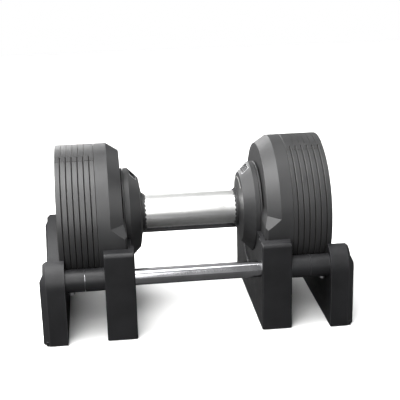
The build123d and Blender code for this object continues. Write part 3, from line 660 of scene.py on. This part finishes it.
def makeDial(side, settings):
    # each letter's (x, y, z) is bent round the ring: x becomes an angle, y goes up the cone, z stands off it
    sideName = "right" if side > 0 else "left"
    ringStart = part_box("number_ring_right")[0][0]
    allPoints, allFaces, count = [], [], 0
    for caption, turn in zip(settings["captions"], settings["turns"]):
        text = bpy.data.curves.new("caption", "FONT")
        text.body = caption
        text.size = settings["size"]
        text.align_x = "CENTER"
        text.align_y = "CENTER"
        text.extrude = settings["thick"]
        holder = bpy.data.objects.new("caption", text)
        flat = bpy.data.meshes.new_from_object(holder)
        places = np.empty(len(flat.vertices) * 3)
        flat.vertices.foreach_get("co", places)
        places = places.reshape(-1, 3)
        up, out = places[:, 1], places[:, 2] + settings["lift"]
        radius = settings["slope"][1] + (up + out) * math.sqrt(0.5)
        x = ringStart + settings["slope"][0] + (up - out) * math.sqrt(0.5)
        angle = math.radians(turn) - side * places[:, 0] / settings["slope"][1]
        bent = np.stack([side * x, radius * np.sin(angle), axisHeight + radius * np.cos(angle)], axis=-1)
        allPoints.append(bent)
        allFaces += [[v + count for v in face.vertices] for face in flat.polygons]
        count += len(bent)
        bpy.data.objects.remove(holder)
        bpy.data.meshes.remove(flat)
    mesh = bpy.data.meshes.new("dialNumbers_" + sideName)
    mesh.from_pydata(np.concatenate(allPoints).tolist(), [], allFaces)
    addPiece("dialNumbers_" + sideName, mesh, "dialPrint", "grip")


for side in (-1.0, 1.0):
    makeTurnArrow(side, arrowSettings)
    # the pale outline round each window is a painted highlight on the recess edge
    makeWindowHighlight(side, windowHighlightSettings)
    makeDial(side, dialSettings)
print("arrows, window trims and dial numbers made")

# turned pieces with detail that the plain solids lack: screws with a hexagon socket, treaded foot pads
screwSettings = {  # millimetres
    "tube": {
        "head": 4.2, "height": 3.0, "shank": 2.4, "length": 10.7, "socket": 2.2, "depth": 1.7, "edge": 0.5},
    "flange": {
        "head": 2.9, "height": 1.3, "shank": 1.45, "length": 5.8, "socket": 1.5, "depth": 0.8, "edge": 0.3},
    "rim": 0.25,  # broken edge of the socket
    "round": 0.3,  # how far in the head's rounded edge bends, as a share of it
    "steps": 48,
}
padSettings = {  # millimetres
    "radius": 8.0,
    "thickness": 2.6,
    "grooves": (2.0, 4.0, 6.0),
    "grooveHalf": 0.35,
    "grooveDepth": 0.4,
    "edge": 0.4,
    "steps": 48,
}


def socketScrew(kind):
    # a profile of (radius, height) turned about z; the socket's radius is a hexagon's, apothem / cos(angle)
    s, rim, steps = screwSettings[kind], screwSettings["rim"], screwSettings["steps"]
    bend = s["edge"] * screwSettings["round"]
    profile = np.array([
        (0.0, s["depth"]), (s["socket"], s["depth"]), (s["socket"], rim), (s["socket"] + rim, 0.0),
        (s["head"] - s["edge"], 0.0), (s["head"] - bend, bend), (s["head"], s["edge"]),
        (s["head"], s["height"]), (s["shank"], s["height"]), (s["shank"], s["height"] + s["length"]),
        (0.0, s["height"] + s["length"])]) * mm
    angle = np.linspace(0.0, 2 * np.pi, steps, endpoint=False)
    hexagon = math.cos(math.pi / 6) / np.cos((angle % (np.pi / 3)) - np.pi / 6)
    radius = np.repeat(profile[:, :1], steps, axis=1)
    radius[1:3] *= hexagon
    height = np.repeat(profile[:, 1:], steps, axis=1)
    return np.stack([radius * np.cos(angle), radius * np.sin(angle), height], axis=-1)


def treadPad(settings):
    # a disc's profile with V grooves in its lower face, turned about z
    s = settings
    profile = [(0.0, 0.0)]
    for groove in s["grooves"]:
        profile += [(groove - s["grooveHalf"], 0.0), (groove, s["grooveDepth"]),
                    (groove + s["grooveHalf"], 0.0)]
    profile += [(s["radius"] - s["edge"], 0.0), (s["radius"], s["edge"]), (s["radius"], s["thickness"]),
                (0.0, s["thickness"])]
    profile = np.array(profile) * mm
    angle = np.linspace(0.0, 2 * np.pi, s["steps"], endpoint=False)
    height = np.repeat(profile[:, 1:], s["steps"], axis=1)
    return np.stack([profile[:, :1] * np.cos(angle), profile[:, :1] * np.sin(angle), height], axis=-1)


def solidPlaces(node, reach=20 * mm):
    # the lowest and highest corner of each small solid of a node, whose vertices lie within its reach
    mesh = nodes[node].data
    places = np.empty(len(mesh.vertices) * 3)
    mesh.vertices.foreach_get("co", places)
    places = places.reshape(-1, 3)
    corners = []
    while len(places):
        near = np.linalg.norm(places - places[0], axis=1) < reach
        group = places[near]
        corners.append((group.min(axis=0), group.max(axis=0)))
        places = places[~near]
    return corners


def addTurned(name, shape, turned, places, material, body, node):
    # one mesh with the turned shape at each place
    rows, steps = shape.shape[:2]
    faces, vertices = [], []
    index = np.arange(rows * steps).reshape(rows, steps)
    around = np.concatenate([index, index[:, :1]], axis=1)
    quads = cellQuads(around)
    for number, place in enumerate(places):
        vertices.append((place + shape @ turned(place).T).reshape(-1, 3))
        faces += (quads + number * rows * steps).tolist()
    mesh = bpy.data.meshes.new(name)
    mesh.from_pydata(np.concatenate(vertices).tolist(), [], faces)
    piece = addPiece(name, mesh, material, body)
    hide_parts(node)


def upright(spot):
    return np.eye(3)


def alongHandle(spot):
    # turns z towards the handle's middle
    inward = -1.0 if spot[0] > 0 else 1.0
    return np.array([[0.0, 0.0, inward], [0.0, 1.0, 0.0], [-inward, 0.0, 0.0]])


def undersides(node):
    return [np.array([*(low + high)[:2] / 2, low[2]]) for low, high in solidPlaces(node)]


def outerEnds(node):
    return [np.array([high[0] if high[0] > 0 else low[0], *(low + high)[1:] / 2])
            for low, high in solidPlaces(node)]


addTurned("tubeScrews", socketScrew("tube"), upright, undersides("tube_screws"),
          "screwZinc", "cradle", "tube_screws")
addTurned("footPads", treadPad(padSettings), upright, undersides("foot_pads"),
          "padRubber", "cradle", "foot_pads")
addTurned("flangeScrews", socketScrew("flange"), alongHandle, outerEnds("flange_screws"),
          "screwZinc", "handle", "flange_screws")
print("screws and foot pads made")
